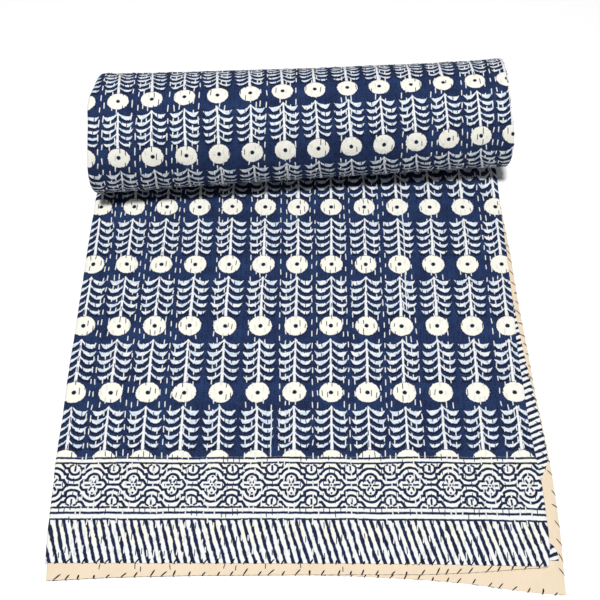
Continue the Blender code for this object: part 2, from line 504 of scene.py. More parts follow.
@dataclass
class QuiltCloth:
    """One of the two cloths, laid on the folds and turns of the quilt as one sheet."""

    name: str
    side: Cloth
    replaces: str
    slot: str
    quilt: FoldedQuilt
    fine_step: float = 0.0046
    coarse_step: float = 0.034
    backing_step: float = 0.012
    coarse_runs: int = 10
    fold_steps: int = 8
    print_turn: float = math.radians(2.6)
    backing_turn: float = math.radians(6)
    inner_turn: float = math.radians(15)
    row_margin: float = 0.003
    first_step: float = 0.004
    last_step: float = 0.002
    out_of_sight: float = 0.665
    outer_turn: tuple = (0.2, 6.3)
    turned_edge: tuple = (
        # distance from a free edge, share of the cloth's offset from the quilt's middle
        (0.0090, 0.18),
        (0.0010, 0.18),
        (0.0002, 0.30),
        (0.0000, 0.52),
        (0.0002, 0.80),
        (0.0011, 1.00),
    )

    def run(self, stops: Stops, layer: Layer, free: bool, fine: bool) -> None:
        """Adds the stops of one layer, in the order in which the cloth passes through it.

        Args:
            stops: The stops so far.
            layer: The layer.
            free: Whether the layer has a free edge.
            fine: Whether it is cut finely where it shows.
        """
        quilt = self.quilt
        ends = {
            Layer.LOWEST: ((LOWEST_EDGE, 0.0), (LEFT_FOLD, quilt.outer_left)),
            Layer.TOP: ((LEFT_FOLD, quilt.outer_left), (RIGHT_FOLD, quilt.inner_right)),
            Layer.SECOND: ((RIGHT_FOLD, quilt.inner_right), (LEFT_FOLD, quilt.inner_left)),
            Layer.THIRD: ((LEFT_FOLD, quilt.inner_left), (THIRD_EDGE, 0.0)),
        }[layer]
        (start, start_fixed), (end, end_fixed) = ends
        up = 1 if layer in (Layer.TOP, Layer.THIRD) else -1
        height = quilt.middle(layer)
        count = round(quilt.folded / (self.fine_step if fine else self.coarse_step))
        every = round(count / self.coarse_runs) if fine else 1
        points = []
        for step in range(count + 1):
            share = step / count
            weights = tuple(a + share * (b - a) for a, b in zip(start, end))
            fixed = start_fixed + share * (end_fixed - start_fixed)
            points.append((weights, fixed, 1.0, step % every == 0 or step == count))
        if free and layer is Layer.LOWEST:
            points[0:1] = [(start, -inset, full, True) for inset, full in self.turned_edge]
        if free and layer is Layer.THIRD:
            points[-1:] = [(end, -inset, full, True) for inset, full in self.turned_edge[::-1]]
        for weights, fixed, full, keep in points:
            stops.add(weights, fixed, height, (0.0, float(up)), layer, full, keep)

    def fold(
        self,
        stops: Stops,
        weights: tuple,
        fixed: float,
        layers: tuple,
        bulge: int,
        facing: int,
    ) -> None:
        """Adds the stops round one fold, without its ends.

        Args:
            stops: The stops so far.
            weights: The weights of the fold's centre.
            fixed: The distance added to them.
            layers: The layer before the fold and the one after it.
            bulge: 1 for a fold at the right, -1 at the left.
            facing: 1 where the print is on the outside, -1 on the inside.
        """
        low, high = (self.quilt.middle(layer) for layer in layers)
        radius, middle = abs(high - low) / 2, (high + low) / 2
        for step in range(1, self.fold_steps):
            angle = math.pi * step / self.fold_steps
            if high < low:
                angle = math.pi - angle
            out, rise = math.sin(angle), -math.cos(angle)
            stops.add(
                weights,
                fixed + bulge * radius * out,
                middle + radius * rise,
                (facing * bulge * out, facing * rise),
                layers[0] if step * 2 <= self.fold_steps else layers[1],
                1.0,
                step % 2 == 0,
            )

    def section(self) -> Stops:
        """The stops across the whole cloth.

        Returns:
            The stops, from the lowest layer's free edge to the third layer's.
        """
        quilt, stops, is_print = self.quilt, Stops(), self.side is Cloth.PRINT
        self.run(stops, Layer.LOWEST, True, is_print)
        self.fold(stops, LEFT_FOLD, quilt.outer_left, (Layer.LOWEST, Layer.TOP), -1, 1)
        self.run(stops, Layer.TOP, False, is_print)
        self.fold(stops, RIGHT_FOLD, quilt.inner_right, (Layer.TOP, Layer.SECOND), 1, 1)
        self.run(stops, Layer.SECOND, False, False)
        self.fold(stops, LEFT_FOLD, quilt.inner_left, (Layer.SECOND, Layer.THIRD), -1, -1)
        self.run(stops, Layer.THIRD, True, False)
        return stops

    def rows(self) -> tuple[Array, Array]:
        """The places along the cloth where it is cut into rows.

        Returns:
            The places, and the share of the offset from the quilt's middle at each.
        """
        quilt, is_print = self.quilt, self.side is Cloth.PRINT
        step = self.fine_step if is_print else self.backing_step
        turn = self.print_turn if is_print else self.backing_turn
        flat = np.arange(self.first_step, quilt.flat_length, step)
        outer = [quilt.along_at(angle) for angle in np.arange(0, 2 * math.pi, turn)]
        last = float(quilt.turned(np.array(quilt.length - self.last_step)))
        inner = [quilt.along_at(a) for a in np.arange(2 * math.pi, last, self.inner_turn)]
        margin = self.row_margin
        places = [(inset, full) for inset, full in self.turned_edge]
        for place in (*flat, *outer, *inner):
            if margin < place < quilt.length - margin:
                places.append((place, 1.0))
        places += [(quilt.length - inset, full) for inset, full in self.turned_edge[::-1]]
        return np.array([place for place, _ in places]), np.array([full for _, full in places])

    def build(self) -> bpy.types.Object:
        """Lays the cloth and gives it its two maps.

        Returns:
            The cloth as one object.
        """
        quilt, stops = self.quilt, self.section()
        along, row_full = self.rows()
        weights, fixed = np.array(stops.weights, float), np.array(stops.fixed)
        layer, way = np.array(stops.layer), np.array(stops.way)
        keep = np.array(stops.coarse)
        sides = np.stack([quilt.edge(along, column) for column in (1, 2, 3, 4)], 1)
        across = sides @ weights.T + fixed
        rows, columns = across.shape
        v = np.repeat(along[:, None], columns, 1)
        full = np.minimum(row_full[:, None], np.array(stops.full)[None, :])
        layers = np.repeat(layer[None, :], rows, 0)
        offset = self.side.value * quilt.quilt / 2 * full
        if self.side is Cloth.PRINT:
            offset = offset + quilt.relief(across, v, layers) * (full == 1)
        reach = v + quilt.hem(across, v, layers)
        height = np.array(stops.height)[None, :] + way[None, :, 1] * offset
        place = quilt.placed(across + way[None, :, 0] * offset, reach, height)
        group = self.joined(along, layer, keep)
        faces, used = self.quads(group)
        index = np.full(rows * columns, -1)
        index[used] = np.arange(len(used))
        mesh = bpy.data.meshes.new(self.name)
        corners = place.reshape(-1, 3)[used].tolist()
        mesh.from_pydata(corners, [], [[index[i] for i in face] for face in faces])
        made = bpy.data.objects.new(self.name, mesh)
        bpy.context.scene.collection.objects.link(made)
        unfolded = self.unfolded(across, stops)
        self.give_map(mesh, "cloth", np.stack([unfolded, v], -1).reshape(-1, 2)[used])
        printed = quilt.print_place(across, v, layers)
        self.give_map(mesh, "print", printed.reshape(-1, 2)[used])
        mesh.shade_smooth()
        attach(made, "root")
        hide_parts(self.replaces)
        return made

    def joined(self, along: Array, layer: Array, keep: Array) -> Array:
        """Says which stop each place takes, where the cloth is cut coarsely.

        Args:
            along: The rows' places.
            layer: The stops' layers.
            keep: Whether each stop stays in a coarse row.

        Returns:
            The stop's number for each row and stop.
        """
        kept = np.flatnonzero(keep)
        near = kept[np.abs(np.arange(len(keep))[:, None] - kept[None, :]).argmin(1)]
        own = np.arange(len(keep))
        angle = self.quilt.turned(along)
        group = np.empty((len(along), len(keep)), int)
        for row, place in enumerate(along):
            in_sight = place < self.out_of_sight
            fine_layer = Layer.TOP if in_sight else Layer.LOWEST
            shows = in_sight or self.outer_turn[0] < angle[row] < self.outer_turn[1]
            fine = shows & (layer == fine_layer.value)
            group[row] = np.where(fine, own, near)
        return group

    def quads(self, group: Array) -> tuple[list, Array]:
        """Joins the places into faces.

        Args:
            group: The stop that each place takes.

        Returns:
            The faces, and the numbers of the places that they use.
        """
        rows, columns = group.shape
        number = group + np.arange(rows)[:, None] * columns
        corners = np.stack([number[:-1, :-1], number[:-1, 1:], number[1:, 1:], number[1:, :-1]], -1)
        faces = []
        for quad in corners.reshape(-1, 4).tolist():
            ring = [corner for place, corner in enumerate(quad) if corner != quad[place - 1]]
            if len(set(ring)) > 2:
                faces.append(ring if self.side is Cloth.PRINT else ring[::-1])
        used = np.unique(np.concatenate([np.array(face) for face in faces]))
        return faces, used

    def unfolded(self, across: Array, stops: Stops) -> Array:
        """How far each place lies from the cloth's first edge, measured over its folds.

        Args:
            across: The places across the folded width, a row for each place along the cloth.
            stops: The stops across the cloth.

        Returns:
            The distances.
        """
        height = np.array(stops.height)
        steps = np.hypot(np.diff(across, axis=1), np.diff(height)[None, :])
        start = np.zeros((len(across), 1))
        return np.concatenate([start, np.cumsum(steps, 1)], 1)

    @staticmethod
    def give_map(mesh: bpy.types.Mesh, name: str, places: Array) -> None:
        """Stores two numbers for each point as a UV map.

        Args:
            mesh: The mesh.
            name: The map's name.
            places: The numbers for each vertex.
        """
        corners = np.empty(len(mesh.loops), dtype=np.int32)
        mesh.loops.foreach_get("vertex_index", corners)
        layer = mesh.uv_layers.new(name=name)
        layer.data.foreach_set("uv", places[corners].astype(np.float32).ravel())


def operation(name: str, *values: "Term | float", clamp: bool = False) -> "Term":
    """Adds a Math node.

    Args:
        name: The node's operation.
        values: Its inputs, at least one of them a Term.
        clamp: Whether the result stays between 0 and 1.

    Returns:
        The result.
    """
    tree = next(value.socket.id_data for value in values if isinstance(value, Term))
    node = tree.nodes.new("ShaderNodeMath")
    node.operation, node.use_clamp = name, clamp
    for value, socket in zip(values, node.inputs):
        if isinstance(value, Term):
            tree.links.new(value.socket, socket)
        else:
            socket.default_value = value
    return Term(node.outputs[0])


@dataclass(frozen=True)
class Term:
    """A number in a node tree. Arithmetic with it adds Math nodes."""

    socket: Socket

    def __add__(self, other: "Term | float") -> "Term":
        """The sum."""
        return operation("ADD", self, other)

    def __sub__(self, other: "Term | float") -> "Term":
        """The difference."""
        return operation("SUBTRACT", self, other)

    def __rsub__(self, other: float) -> "Term":
        """The difference, from a plain number."""
        return operation("SUBTRACT", other, self)

    def __mul__(self, other: "Term | float") -> "Term":
        """The product."""
        return operation("MULTIPLY", self, other)

    def __truediv__(self, other: "Term | float") -> "Term":
        """The quotient."""
        return operation("DIVIDE", self, other)

    def __abs__(self) -> "Term":
        """The size, without its sign."""
        return operation("ABSOLUTE", self)

    def least(self, other: "Term | float") -> "Term":
        """The smaller of two."""
        return operation("MINIMUM", self, other)

    def most(self, other: "Term | float") -> "Term":
        """The larger of two."""
        return operation("MAXIMUM", self, other)

    def nearest(self) -> "Term":
        """The nearest whole number."""
        return operation("ROUND", self)

    def within(self, pitch: float) -> "Term":
        """The distance, with its sign, from the nearest multiple of a pitch."""
        return self - (self / pitch).nearest() * pitch

    def mask(self, soft: float) -> "Term":
        """1 where a distance is below zero, 0 above, with a soft step between."""
        return operation("MULTIPLY_ADD", self, -1 / soft, 0.5, clamp=True)

    def far(self, other: "Term") -> "Term":
        """The distance from the origin to a point with this and another coordinate."""
        return operation("SQRT", self * self + other * other)


class NodeGroup:
    """A shader node group under construction, with its sockets by name."""

    def __init__(self, name: str, inputs: dict[str, str], outputs: dict[str, str]) -> None:
        """Makes the group.

        Args:
            name: The group's name.
            inputs: The kinds of its inputs by name.
            outputs: The kinds of its outputs by name.
        """
        self.tree = bpy.data.node_groups.new(name, "ShaderNodeTree")
        for way, sockets in (("INPUT", inputs), ("OUTPUT", outputs)):
            for title, kind in sockets.items():
                self.tree.interface.new_socket(title, in_out=way, socket_type=kind)
        self.given = self.tree.nodes.new("NodeGroupInput")
        self.result = self.tree.nodes.new("NodeGroupOutput")

    def number(self, name: str) -> Term:
        """One of the group's inputs, as a number."""
        return Term(self.given.outputs[name])

    def give(self, name: str, value: Socket) -> None:
        """Sends a socket to one of the group's outputs."""
        self.tree.links.new(value, self.result.inputs[name])

    def split(self, vector: Socket) -> tuple[Term, Term, Term]:
        """Takes a vector or a colour apart.

        Args:
            vector: The vector or colour.

        Returns:
            Its three numbers.
        """
        node = self.tree.nodes.new("ShaderNodeSeparateXYZ")
        self.tree.links.new(vector, node.inputs[0])
        return tuple(Term(socket) for socket in node.outputs)

    def join(self, first: Term, second: Term) -> Socket:
        """Puts two numbers together.

        Args:
            first: The first number.
            second: The second.

        Returns:
            The vector.
        """
        node = self.tree.nodes.new("ShaderNodeCombineXYZ")
        self.tree.links.new(first.socket, node.inputs[0])
        self.tree.links.new(second.socket, node.inputs[1])
        return node.outputs[0]

    def noise(self, vector: Socket, length: float, detail: float = 2.0) -> bpy.types.Node:
        """Adds a noise.

        Args:
            vector: The place that it reads.
            length: About how long its features are.
            detail: How much finer detail it has.

        Returns:
            The noise's node.
        """
        node = self.tree.nodes.new("ShaderNodeTexNoise")
        node.inputs["Scale"].default_value = 1 / length
        node.inputs["Detail"].default_value = detail
        self.tree.links.new(vector, node.inputs["Vector"])
        return node


@dataclass(frozen=True)
class Lattice:
    """The border's lattice of pointed quatrefoils with a rosette in each.

    The first five sizes are in metres of cloth, and the others in units of the fifth.
    """

    pitch: float = 0.0558
    start: float = -0.0033
    middle: float = 0.1080
    half: float = 0.0312
    unit: float = 0.00142
    line: float = 1.35
    lobe_middle: float = 5.3
    lobe_radius: float = 6.0
    point_reach: float = 13.4
    point_slope: float = 0.75
    point_steepness: float = 0.8
    point_half: float = 4.8
    shoulder_middle: float = 5.8
    shoulder_radius: float = 11.2
    shelf_half: float = 13.0
    shelf_height: float = 10.8
    shelf_gap: float = 11.0
    lens_half: float = 1.3
    petal_middle: float = 5.2
    petal_length: float = 3.0
    petal_half: float = 1.0
    slant: tuple = (0.5, 0.87)
    slant_middle: float = 4.4
    slant_length: float = 2.2
    dot_middle: float = 8.1
    dot_radius: float = 1.1
    heart_radius: float = 1.0
    soft: float = 0.5

    def ink(self, s: Term, t: Term) -> Term:
        """The mask of the lattice's lines.

        Args:
            s: The place along the border.
            t: The distance from the hem.

        Returns:
            The mask.
        """
        along = (s - self.start) / self.unit
        up = abs(t - self.middle) / self.unit
        pitch, half = self.pitch / self.unit, self.half / self.unit
        ax = abs(along.within(pitch))
        bx = abs((along - pitch / 2).within(pitch))
        by = abs(up - half)
        first, second = self.quatrefoil(ax, up), self.quatrefoil(bx, by)
        wave = self.wave(ax, bx, up, half)
        lines = (abs(first.least(second)) - self.line).least(abs(wave) - self.line)
        lens = (self.point_reach - ax).most(up - self.lens_half)
        other = operation("LESS_THAN", second, first)
        petals = self.rosette(ax + other * (by - ax), up + other * (bx - up))
        return lines.least(petals).least(lens).mask(self.soft)

    def quatrefoil(self, x: Term, y: Term) -> Term:
        """A quatrefoil with pointed sides.

        Args:
            x: The distance from its middle, along the border.
            y: The distance from its middle, across the border.

        Returns:
            The distance from its outline.
        """
        lobes = x.far(y - self.lobe_middle) - self.lobe_radius
        point = (x + y * self.point_slope - self.point_reach) * self.point_steepness
        return lobes.least(point.most(y - self.point_half))

    def wave(self, ax: Term, bx: Term, up: Term, half: float) -> Term:
        """The distance from the stepped wave that runs between the quatrefoils.

        Args:
            ax: The distance from the nearest quatrefoil's middle, along the border.
            bx: The distance from the nearest gap's middle, along the border.
            up: The distance from the middle of the band.
            half: Half the band's repeat across.

        Returns:
            The distance.
        """
        shoulder = ax.far(up - self.shoulder_middle) - self.shoulder_radius
        shape = shoulder.least((ax - self.shelf_half).most(up - self.shelf_height))
        hollow = bx.far(up - (half - self.shoulder_middle)) - self.shoulder_radius
        return hollow.least(self.shelf_gap - up).most(0 - shape)

    def rosette(self, x: Term, y: Term) -> Term:
        """The petals, dots and heart inside a quatrefoil.

        Args:
            x: The distance from its middle, along the border.
            y: The distance from its middle, across the border.

        Returns:
            The distance from their outline.
        """
        across = (abs(x - self.petal_middle) - self.petal_length).most(y - self.petal_half)
        near, far = self.slant
        lean, side = x * near + y * far, abs(x * far - y * near)
        slanted = (abs(lean - self.slant_middle) - self.slant_length).most(side - self.petal_half)
        dots = x.far(y - self.dot_middle) - self.dot_radius
        return across.least(slanted).least(dots).least(x.far(y) - self.heart_radius)


@dataclass(frozen=True)
class BlockPrint:
    """The print of stems and discs, and its border of stripes and lattice, in metres of cloth.

    The leaves' numbers and the stem's ends are shares of the print's repeat.
    """

    repeat: PrintRepeat = PrintRepeat()
    lattice: Lattice = Lattice()
    edge: float = 0.0009
    wobbles: tuple = ((0.0040, 0.0015), (0.060, 0.0040))
    squeeze: float = 0.060
    disc: tuple = (0.0175, 0.0164)
    disc_soft: float = 0.05
    disc_rough: float = 0.20
    rough_length: float = 0.0022
    eye: float = 0.0034
    stem: tuple = (0.155, 0.787)
    stem_half: float = 0.0012
    stem_widening: float = 0.0016
    leaves: int = 5
    leaf_pitch: float = 0.125
    leaf_droop: float = 0.105
    leaf_low: float = 0.30
    leaf_lift: float = 1.35
    leaf_crowding: float = 0.012
    leaf_belly: tuple = (0.0335, 0.29, 0.42, 0.0150)
    leaf_narrowing: float = 0.0024
    leaf_reach: tuple = (0.438, 1.9, 0.0115)
    leaf_cut: float = 0.22
    leaf_rough: float = 0.034
    shade: tuple = (0.40, 0.17, 0.001)
    halo: float = 0.0016
    halo_share: float = 0.75
    tint_length: float = 0.009
    tint_contrast: tuple = (4.5, -1.75)
    stripe: float = 0.01032
    stripe_share: float = 0.46
    stripe_lean: float = 0.3076
    stripe_wander: tuple = (0.012, 0.0040)
    lines: tuple = (
        # distance from the hem, half the width
        (0.0594, 0.0014),
        (0.0684, 0.0017),
        (0.0759, 0.0014),
        (0.1398, 0.0014),
        (0.1472, 0.0016),
    )
    border_deep: float = 0.7
    border_cream: float = 0.30
    joints: tuple = ((-0.0333, 0.148, 0.228), (0.1720, 0.385, 0.640))
    joint_half: float = 0.0007

    def group(self) -> Tree:
        """The group, from a place in the print to its masks.

        Returns:
            The group's tree.
        """
        masks = {name: "NodeSocketFloat" for name in ("White", "Dark", "Tint", "Cream")}
        group = NodeGroup("block_print", {"Place": "NodeSocketVector"}, masks)
        place = group.given.outputs["Place"]
        s, t, _ = group.split(place)
        for length, reach in self.wobbles:
            shift = group.split(group.noise(place, length).outputs["Color"])
            s, t = s + (shift[0] - 0.5) * reach, t + (shift[1] - 0.5) * reach
        field_white, dark, tint, cream = self.field(s, t, group, place)
        ink = self.border(s, t, group, place)
        border = (t - sum(self.lines[-1])).mask(self.edge)
        white = field_white + border * ((1 - ink) - field_white)
        group.give("White", white.socket)
        group.give("Dark", (dark + border * (ink * self.border_deep - dark)).socket)
        group.give("Tint", (tint * (1 - border)).socket)
        group.give("Cream", cream.most(border * self.border_cream).socket)
        return group.tree

    def field(self, s: Term, t: Term, group: NodeGroup, place: Socket) -> tuple[Term, ...]:
        """The field's masks.

        Args:
            s: The place across the columns.
            t: The place along them.
            group: The group that the nodes go to.
            place: The place before it was made uneven.

        Returns:
            The masks of undyed cloth, of the deepest dye, of the pale dye in the leaves, and of
            the creamy discs.
        """
        repeat = self.repeat
        cx = s.within(repeat.column)
        squeezed = ((repeat.first_row + repeat.row) - t).most(0) * self.squeeze
        rows = (t - squeezed - repeat.first_row) / repeat.row
        y = rows - operation("FLOOR", rows)
        cy = (y - y.nearest()) * repeat.row
        rim = (cx / self.disc[0]).far(cy / self.disc[1]) - 1
        rough = Term(group.noise(place, self.rough_length).outputs["Fac"]) - 0.5
        disc = (rim + rough * self.disc_rough).mask(self.disc_soft)
        eye = (cx.far(cy) - self.eye).mask(self.edge)
        low, high = self.stem
        joint = abs(cx) - (high - y) * self.stem_widening - self.stem_half
        stalk = joint.most((abs(y - (low + high) / 2) - (high - low) / 2) * repeat.row)
        stem = stalk.mask(self.edge)
        blade, shade = self.leaf(abs(cx) / repeat.column, y, rough)
        leaf = blade.mask(self.edge)
        round_shapes = (rim * self.disc[0]).least(stalk).least(blade) - self.halo
        dark = shade.mask(self.edge).most(round_shapes.mask(self.halo) * self.halo_share)
        white = (disc * (1 - eye)).most(stem).most(leaf)
        for middle, start, end in self.joints:
            length = abs(t - (start + end) / 2) - (end - start) / 2
            line = (abs(s - middle) - self.joint_half).most(length)
            white = white.most(line.mask(self.edge))
        patches = Term(group.noise(place, self.tint_length).outputs["Fac"])
        tint = operation("MULTIPLY_ADD", patches, *self.tint_contrast, clamp=True)
        return white, dark.most(eye), leaf * (1 - stem) * tint, disc

    def leaf(self, x: Term, y: Term, rough: Term) -> tuple[Term, Term]:
        """The leaves along a stem, which droop from it and lift at their ends.

        Args:
            x: The distance from the stem, in columns.
            y: The height above the disc below, in rows.
            rough: The unevenness of the block's edges.

        Returns:
            The distance from the leaves' outline, and from that of the deep dye under them.
        """
        column, row = self.repeat.column, self.repeat.row
        bend = x - self.leaf_low
        near_stem = operation("LESS_THAN", x, self.leaf_low)
        drooping = self.leaf_droop / self.leaf_low**2 - self.leaf_lift
        curve = near_stem * drooping + self.leaf_lift
        top = self.stem[1] - self.leaf_droop
        below = (bend * bend * curve - y + top) / self.leaf_pitch
        q = below + below * below * self.leaf_crowding
        k = q.nearest().most(0).least(self.leaves - 1)
        longest, longest_leaf, shortening = self.leaf_reach
        spread = k - longest_leaf
        end = x + spread * spread * shortening - longest
        thickest, belly, thinning, thinnest = self.leaf_belly
        away = x - belly
        half = 0 - away * away * thinning - k * self.leaf_narrowing + thickest
        body = abs(q - k) * self.leaf_pitch - half.most(thinnest) + rough * self.leaf_rough
        blade = (body * row).most((end + (q - k) * self.leaf_cut) * column)
        lower, half_shade, inset = self.shade
        under = (abs(q - k - lower) - half_shade) * (self.leaf_pitch * row)
        return blade, under.most(end * column - inset)

    def border(self, s: Term, t: Term, group: NodeGroup, place: Socket) -> Term:
        """The border's dye.

        Args:
            s: The place along the border.
            t: The distance from the hem.
            group: The group that the nodes go to.
            place: The place before it was made uneven.

        Returns:
            The mask of the dye.
        """
        length, reach = self.stripe_wander
        wide = (Term(group.noise(place, length).outputs["Fac"]) - 0.5) * reach
        beside = abs((s + t * self.stripe_lean).within(self.stripe))
        stripe = beside - self.stripe * self.stripe_share / 2 + wide
        ink = stripe.most(t - self.lines[0][0]).mask(self.edge)
        for middle, half in self.lines:
            ink = ink.most((abs(t - middle) - half).mask(self.edge))
        low, high = self.lines[2][0], self.lines[3][0]
        band = abs(t - (low + high) / 2) - (high - low) / 2
        return ink.most(self.lattice.ink(s, t) * band.mask(self.edge))


@dataclass(frozen=True)
class Dyes:
    """The colours of the cloths and threads."""

    ground: tuple = (21, 35, 70)
    ground_faded: tuple = (32, 52, 94)
    deep: tuple = (9, 13, 38)
    undyed: tuple = (236, 238, 242)
    disc: tuple = (243, 241, 230)
    pale: tuple = (197, 215, 233)
    cream: tuple = (242, 225, 200)
    cream_shade: tuple = (222, 203, 176)
    white_thread: tuple = (246, 246, 243)
    navy_thread: tuple = (33, 42, 84)
    whip_thread: tuple = (14, 14, 32)


def linear(colour: tuple) -> tuple:
    """A screen colour of 0 to 255 as linear light, by the standard curve, with full alpha."""
    shares = [channel / 255 for channel in colour]
    return (*(c / 12.92 if c < 0.04045 else ((c + 0.055) / 1.055) ** 2.4 for c in shares), 1.0)


@dataclass(frozen=True)
class UnevenDye:
    """Ink and cloth that took the dye unevenly: broad clouds and a fine grain."""

    cloud_length: float = 0.030
    cloud_detail: float = 4.0
    grain_length: float = 0.0013
    grain_detail: float = 1.0

    def group(self) -> Tree:
        """The group, from a place on the cloth to its clouds and grain.

        Returns:
            The group's tree.
        """
        outputs = {"Cloud": "NodeSocketFloat", "Grain": "NodeSocketFloat"}
        group = NodeGroup("uneven_dye", {"Place": "NodeSocketVector"}, outputs)
        place = group.given.outputs["Place"]
        cloud = group.noise(place, self.cloud_length, self.cloud_detail)
        grain = group.noise(place, self.grain_length, self.grain_detail)
        group.give("Cloud", cloud.outputs["Fac"])
        group.give("Grain", grain.outputs["Fac"])
        return group.tree


@dataclass(frozen=True)
class WovenSurface:
    """The cloth's surface: its threads, and the puckers between the stitches."""

    pucker_length: float = 0.011
    pucker_narrowing: float = 1.9
    pucker_detail: float = 2.5
    thread_pitch: float = 0.0008

    def group(self) -> Tree:
        """The group, from a place on the cloth and two heights to a normal.

        Returns:
            The group's tree.
        """
        inputs = {"Place": "NodeSocketVector"}
        inputs.update({name: "NodeSocketFloat" for name in ("Puckers", "Threads")})
        group = NodeGroup("woven_surface", inputs, {"Normal": "NodeSocketVector"})
        s, t, _ = group.split(group.given.outputs["Place"])
        narrowed = group.join(s * self.pucker_narrowing, t)
        noise = group.noise(narrowed, self.pucker_length, self.pucker_detail)
        rate = 2 * math.pi / self.thread_pitch
        weave = operation("SINE", s * rate) * operation("SINE", t * rate)
        puckers = Term(noise.outputs["Fac"]) * group.number("Puckers")
        height = puckers + weave * group.number("Threads")
        bump = group.tree.nodes.new("ShaderNodeBump")
        bump.inputs["Distance"].default_value = 1.0
        group.tree.links.new(height.socket, bump.inputs["Height"])
        group.give("Normal", bump.outputs["Normal"])
        return group.tree


@dataclass(frozen=True)
class SharedGroups:
    """The node groups that the cloths share, built once."""

    printed: Tree
    uneven: Tree
    woven: Tree


def plain(name: str, colour: tuple, roughness: float, specular: float) -> Material:
    """A surface of one colour.

    Args:
        name: The material's name.
        colour: Its colour as linear light, with alpha.
        roughness: Its roughness.
        specular: Its specular level.

    Returns:
        The material.
    """
    material = bpy.data.materials.new(name)
    material.use_nodes = True
    surface = material.node_tree.nodes["Principled BSDF"]
    surface.inputs["Base Color"].default_value = colour
    surface.inputs["Roughness"].default_value = roughness
    surface.inputs["Specular IOR Level"].default_value = specular
    return material


class ClothSurface:
    """A cloth's material under construction."""

    # the places of a Mix node's two colours and of its result
    mix_inputs = (6, 7)
    mix_output = 2

    def __init__(self, name: str, roughness: float, specular: float) -> None:
        """Makes the material, with its surface ready for colour.

        Args:
            name: The material's name.
            roughness: The surface's roughness.
            specular: The surface's specular level.
        """
        self.material = plain(name, (1, 1, 1, 1), roughness, specular)
        self.tree = self.material.node_tree
        self.surface = self.tree.nodes["Principled BSDF"]

    def place(self, name: str) -> Socket:
        """Adds a node that reads one of the piece's own maps.

        Args:
            name: The map's name.

        Returns:
            The places on the map.
        """
        node = self.tree.nodes.new("ShaderNodeUVMap")
        node.uv_map = name
        return node.outputs["UV"]

    def use(self, tree: Tree, place: Socket, **numbers: float) -> bpy.types.Node:
        """Adds a node group.

        Args:
            tree: The group.
            place: The place that it reads.
            numbers: Its other inputs.

        Returns:
            The group's node.
        """
        node = self.tree.nodes.new("ShaderNodeGroup")
        node.node_tree = tree
        self.tree.links.new(place, node.inputs["Place"])
        for name, value in numbers.items():
            node.inputs[name].default_value = value
        return node

    def blend(self, share: Socket, first: "tuple | Socket", second: "tuple | Socket") -> Socket:
        """Mixes two colours.

        Args:
            share: The share of the second.
            first: A colour's numbers, or a socket.
            second: The same for the second.

        Returns:
            The mixed colour.
        """
        node = self.tree.nodes.new("ShaderNodeMix")
        node.data_type = "RGBA"
        self.tree.links.new(share, node.inputs["Factor"])
        for number, colour in zip(self.mix_inputs, (first, second)):
            if isinstance(colour, tuple):
                node.inputs[number].default_value = linear(colour)
            else:
                self.tree.links.new(colour, node.inputs[number])
        return node.outputs[self.mix_output]

    def finish(self, colour: Socket, normal: Socket) -> Material:
        """Joins the colour and the normal to the surface.

        Args:
            colour: The surface's colour.
            normal: The surface's normal.

        Returns:
            The finished material.
        """
        self.tree.links.new(colour, self.surface.inputs["Base Color"])
        self.tree.links.new(normal, self.surface.inputs["Normal"])
        return self.material


@dataclass(frozen=True)
class PrintedCotton:
    """The finish of the block-printed cotton."""

    dyes: Dyes
    roughness: float = 0.88
    specular: float = 0.06
    cloud_contrast: tuple = (3.0, -1.0)
    deep_share: float = 0.85
    wear: float = 0.35
    puckers: float = 0.0016
    threads: float = 0.00004

    def build(self, groups: SharedGroups) -> Material:
        """The material: faded ground, deep outlines, undyed shapes, and a worn grain.

        Args:
            groups: The shared node groups.

        Returns:
            The material.
        """
        made = ClothSurface("block_printed_cotton", self.roughness, self.specular)
        cloth, dyes = made.place("cloth"), self.dyes
        masks = made.use(groups.printed, made.place("print"))
        dye = made.use(groups.uneven, cloth)
        cloud = Term(dye.outputs["Cloud"])
        cloud = operation("MULTIPLY_ADD", cloud, *self.cloud_contrast, clamp=True)
        ground = made.blend(cloud.socket, dyes.ground, dyes.ground_faded)
        deep = Term(masks.outputs["Dark"]) * self.deep_share
        ground = made.blend(deep.socket, ground, dyes.deep)
        white = made.blend(masks.outputs["Tint"], dyes.undyed, dyes.pale)
        white = made.blend(masks.outputs["Cream"], white, dyes.disc)
        colour = made.blend(masks.outputs["White"], ground, white)
        worn = (Term(dye.outputs["Grain"]) - 0.5) * self.wear
        colour = made.blend(worn.most(0).socket, colour, dyes.pale)
        surface = made.use(groups.woven, cloth, Puckers=self.puckers, Threads=self.threads)
        return made.finish(colour, surface.outputs["Normal"])


@dataclass(frozen=True)
class CreamCotton:
    """The finish of the plain cream backing."""

    dyes: Dyes
    roughness: float = 0.9
    specular: float = 0.06
    cloud_share: float = 0.6
    grain_share: float = 0.4
    puckers: float = 0.0012
    threads: float = 0.00004

    def build(self, groups: SharedGroups) -> Material:
        """The material: cream with slightly darker clouds and grain.

        Args:
            groups: The shared node groups.

        Returns:
            The material.
        """
        made = ClothSurface("cream_cotton", self.roughness, self.specular)
        cloth = made.place("cloth")
        dye = made.use(groups.uneven, cloth)
        cloud = Term(dye.outputs["Cloud"]) * self.cloud_share
        share = cloud + Term(dye.outputs["Grain"]) * self.grain_share
        colour = made.blend(share.socket, self.dyes.cream, self.dyes.cream_shade)
        surface = made.use(groups.woven, cloth, Puckers=self.puckers, Threads=self.threads)
        return made.finish(colour, surface.outputs["Normal"])


@dataclass(frozen=True)
class CottonThread:
    """The finish of a plain cotton thread."""

    name: str
    colour: tuple
    roughness: float = 0.8
    specular: float = 0.15

    def build(self) -> Material:
        """The thread's material."""
        return plain(self.name, linear(self.colour), self.roughness, self.specular)


